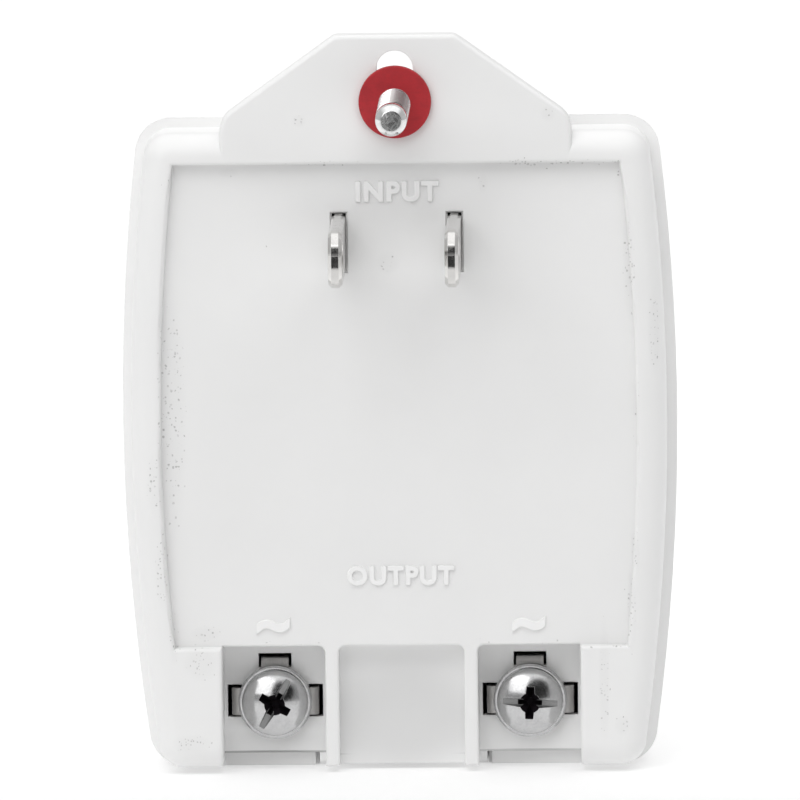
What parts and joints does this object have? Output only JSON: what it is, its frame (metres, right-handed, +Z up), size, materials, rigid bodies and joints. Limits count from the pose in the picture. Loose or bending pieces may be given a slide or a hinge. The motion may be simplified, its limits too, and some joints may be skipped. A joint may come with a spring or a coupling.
{
  "type": "plug-in transformer",
  "caption": "Wall-plug transformer: moulded case with barrel sides, flat plug blades, a slotted mounting tab with a captive screw, and screw terminals in open wells at the bottom.",
  "frame": {"origin": "midway between the two plug blades, on the plane that meets the wall plate", "axes": "+Z up the wall towards the mounting tab, -Y into the wall along the blades, +Y into the room, +X to the right as seen from the wall side"},
  "size_m": [0.061, 0.0671, 0.0818],
  "materials": {
    "case_plastic": "fine moulded grain, off-white",
    "blade_metal": "nickel plated",
    "terminal_metal": "dull plated",
    "screw_steel": "bright plated",
    "red_fibre": "smooth vulcanised fibre",
    "core_steel": "varnished laminations",
    "bobbin_plastic": "natural moulded",
    "winding_copper": "enamelled copper wire",
    "coil_tape": "yellow film tape",
    "cutoff_case": "satin",
    "lead_insulation": "black flexible insulation"
  },
  "bodies": {
    "transformer": {"wall_housing": "case_plastic", "room_cover": "case_plastic", "line_blade_left": "blade_metal", "line_blade_right": "blade_metal", "terminal_plate_left": "terminal_metal", "terminal_plate_right": "terminal_metal", "core_e_stack": "core_steel", "core_i_stack": "core_steel", "bobbin": "bobbin_plastic", "primary_winding": "winding_copper", "secondary_winding": "winding_copper", "primary_tape": "coil_tape", "secondary_tape": "coil_tape", "thermal_cutoff": "cutoff_case", "primary_lead_left": "lead_insulation", "primary_lead_right": "lead_insulation", "secondary_lead_left": "lead_insulation", "secondary_lead_right": "lead_insulation"},
    "captive_washer": {"fibre_washer": "red_fibre"},
    "mounting_screw": {"mounting_screw": "screw_steel"},
    "left_washer": {"terminal_washer_left": "screw_steel"},
    "left_screw": {"terminal_screw_left": "screw_steel"},
    "right_washer": {"terminal_washer_right": "screw_steel"},
    "right_screw": {"terminal_screw_right": "screw_steel"}
  },
  "joints": [
    {"name": "tab_slide", "type": "slide", "parent": "transformer", "child": "captive_washer", "axis": [0, 0, 1], "range_m": [0, 0.0036]},
    {"name": "mounting_screw_turn", "type": "hinge", "parent": "captive_washer", "child": "mounting_screw", "pos_m": [0, 0, 0.0157], "axis": [0, -1, 0], "continuous": true},
    {"name": "left_screw_lift", "type": "slide", "parent": "transformer", "child": "left_washer", "axis": [0, -1, 0], "range_m": [0, 0.00275]},
    {"name": "left_screw_turn", "type": "hinge", "parent": "left_washer", "child": "left_screw", "pos_m": [-0.01405, 0, -0.0514], "axis": [0, -1, 0], "range_deg": [0, 1260]},
    {"name": "right_screw_lift", "type": "slide", "parent": "transformer", "child": "right_washer", "axis": [0, -1, 0], "range_m": [0, 0.00275]},
    {"name": "right_screw_turn", "type": "hinge", "parent": "right_washer", "child": "right_screw", "pos_m": [0.01405, 0, -0.0514], "axis": [0, -1, 0], "range_deg": [0, 1260]}
  ],
  "couplings": [
    {"joint": "left_screw_turn", "follows": "left_screw_lift", "rad_per_m": 7915.8},
    {"joint": "right_screw_turn", "follows": "right_screw_lift", "rad_per_m": 7915.8}
  ]
}
